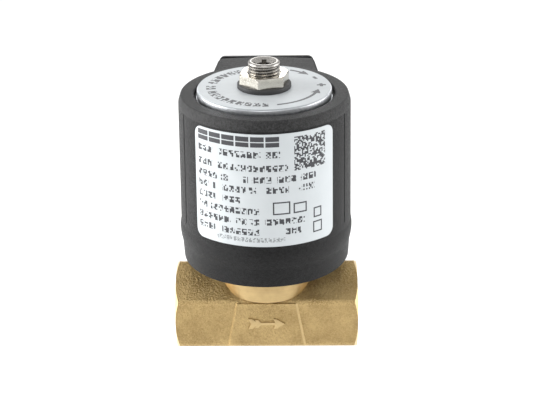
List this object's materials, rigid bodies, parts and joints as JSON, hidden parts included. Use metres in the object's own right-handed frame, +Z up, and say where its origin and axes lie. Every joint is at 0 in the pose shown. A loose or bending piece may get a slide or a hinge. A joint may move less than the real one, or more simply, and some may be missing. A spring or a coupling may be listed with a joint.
{
  "type": "solenoid valve",
  "caption": "Brass in-line gas solenoid valve with a black round coil, rear terminal box and a top flow regulator with lock nut.",
  "frame": {"origin": "centre of the inlet port's mouth, on the pipe axis", "axes": "+X downstream along the pipe, +Y towards the terminal box at the rear, +Z up along the stem"},
  "size_m": [0.0595, 0.0744, 0.1015],
  "materials": {
    "cast_brass": "hot-pressed, shot-blasted, machined at the ends and neck",
    "turned_brass": "turned",
    "stainless": "turned stainless steel",
    "magnet_steel": "turned ferritic stainless steel",
    "nickel_plate": "nickel plated brass",
    "zinc_plate": "zinc plated steel",
    "copper": "enamelled copper",
    "coil_plastic": "black moulded, finely textured",
    "bobbin_plastic": "glass-filled nylon",
    "seal_rubber": "black nitrile rubber",
    "label_film": "silver-white printed polyester film"
  },
  "bodies": {
    "valve_body": {"valve_body": "cast_brass", "seat_ring": "stainless", "inlet_filter": "stainless", "bonnet": "turned_brass", "bonnet_seal": "seal_rubber", "armature_tube": "stainless", "fixed_core": "magnet_steel", "shading_ring": "copper", "return_spring": "stainless"},
    "plunger": {"plunger": "magnet_steel", "plunger_seal": "seal_rubber"},
    "stop_pin": {"stop_pin": "stainless"},
    "regulator": {"regulator_sleeve": "nickel_plate", "regulator_seal": "seal_rubber"},
    "lock_nut": {"lock_nut": "nickel_plate"},
    "coil": {"coil_housing": "coil_plastic", "coil_gasket": "seal_rubber", "bottom_plate": "zinc_plate", "yoke_can": "zinc_plate", "top_plate": "zinc_plate", "dial_label": "label_film", "rating_label": "label_film", "bobbin": "bobbin_plastic", "winding": "copper", "lead_pins": "copper", "terminal_block": "bobbin_plastic", "terminal_clamps": "turned_brass", "terminal_screws": "zinc_plate", "earth_terminal": "zinc_plate", "sealing_washer": "seal_rubber", "cover_gasket": "seal_rubber", "gland_body": "coil_plastic", "gland_washer": "seal_rubber", "gland_seal": "seal_rubber"},
    "terminal_cover": {"terminal_cover": "coil_plastic", "cover_screws": "zinc_plate"},
    "gland_nut": {"gland_nut": "coil_plastic"}
  },
  "joints": [
    {"name": "coil_swivel", "type": "hinge", "parent": "valve_body", "child": "coil", "pos_m": [0.02975, 0, 0], "axis": [0, 0, 1], "range_deg": [-180, 180]},
    {"name": "plunger_lift", "type": "slide", "parent": "valve_body", "child": "plunger", "axis": [0, 0, 1], "range_m": [0, 0.0015], "stiffness_N_per_m": 300, "springref_m": -0.004, "deforming": ["return_spring"]},
    {"name": "regulator_travel", "type": "slide", "parent": "valve_body", "child": "stop_pin", "axis": [0, 0, 1], "range_m": [-0.001, 0.001]},
    {"name": "regulator_turn", "type": "hinge", "parent": "stop_pin", "child": "regulator", "pos_m": [0.02975, 0, 0], "axis": [0, 0, 1], "range_deg": [-360, 360]},
    {"name": "lock_nut_turn", "type": "hinge", "parent": "valve_body", "child": "lock_nut", "pos_m": [0.02975, 0, 0], "axis": [0, 0, 1], "range_deg": [0, 360]},
    {"name": "terminal_cover_pull", "type": "slide", "parent": "coil", "child": "terminal_cover", "axis": [0, 1, 0], "range_m": [0, 0.03]},
    {"name": "gland_nut_turn", "type": "hinge", "parent": "coil", "child": "gland_nut", "pos_m": [0.02975, 0.0368, 0.028], "axis": [0, 0, 1], "range_deg": [0, 360]}
  ],
  "couplings": [
    {"joint": "regulator_turn", "follows": "regulator_travel", "rad_per_m": 6283.2}
  ]
}
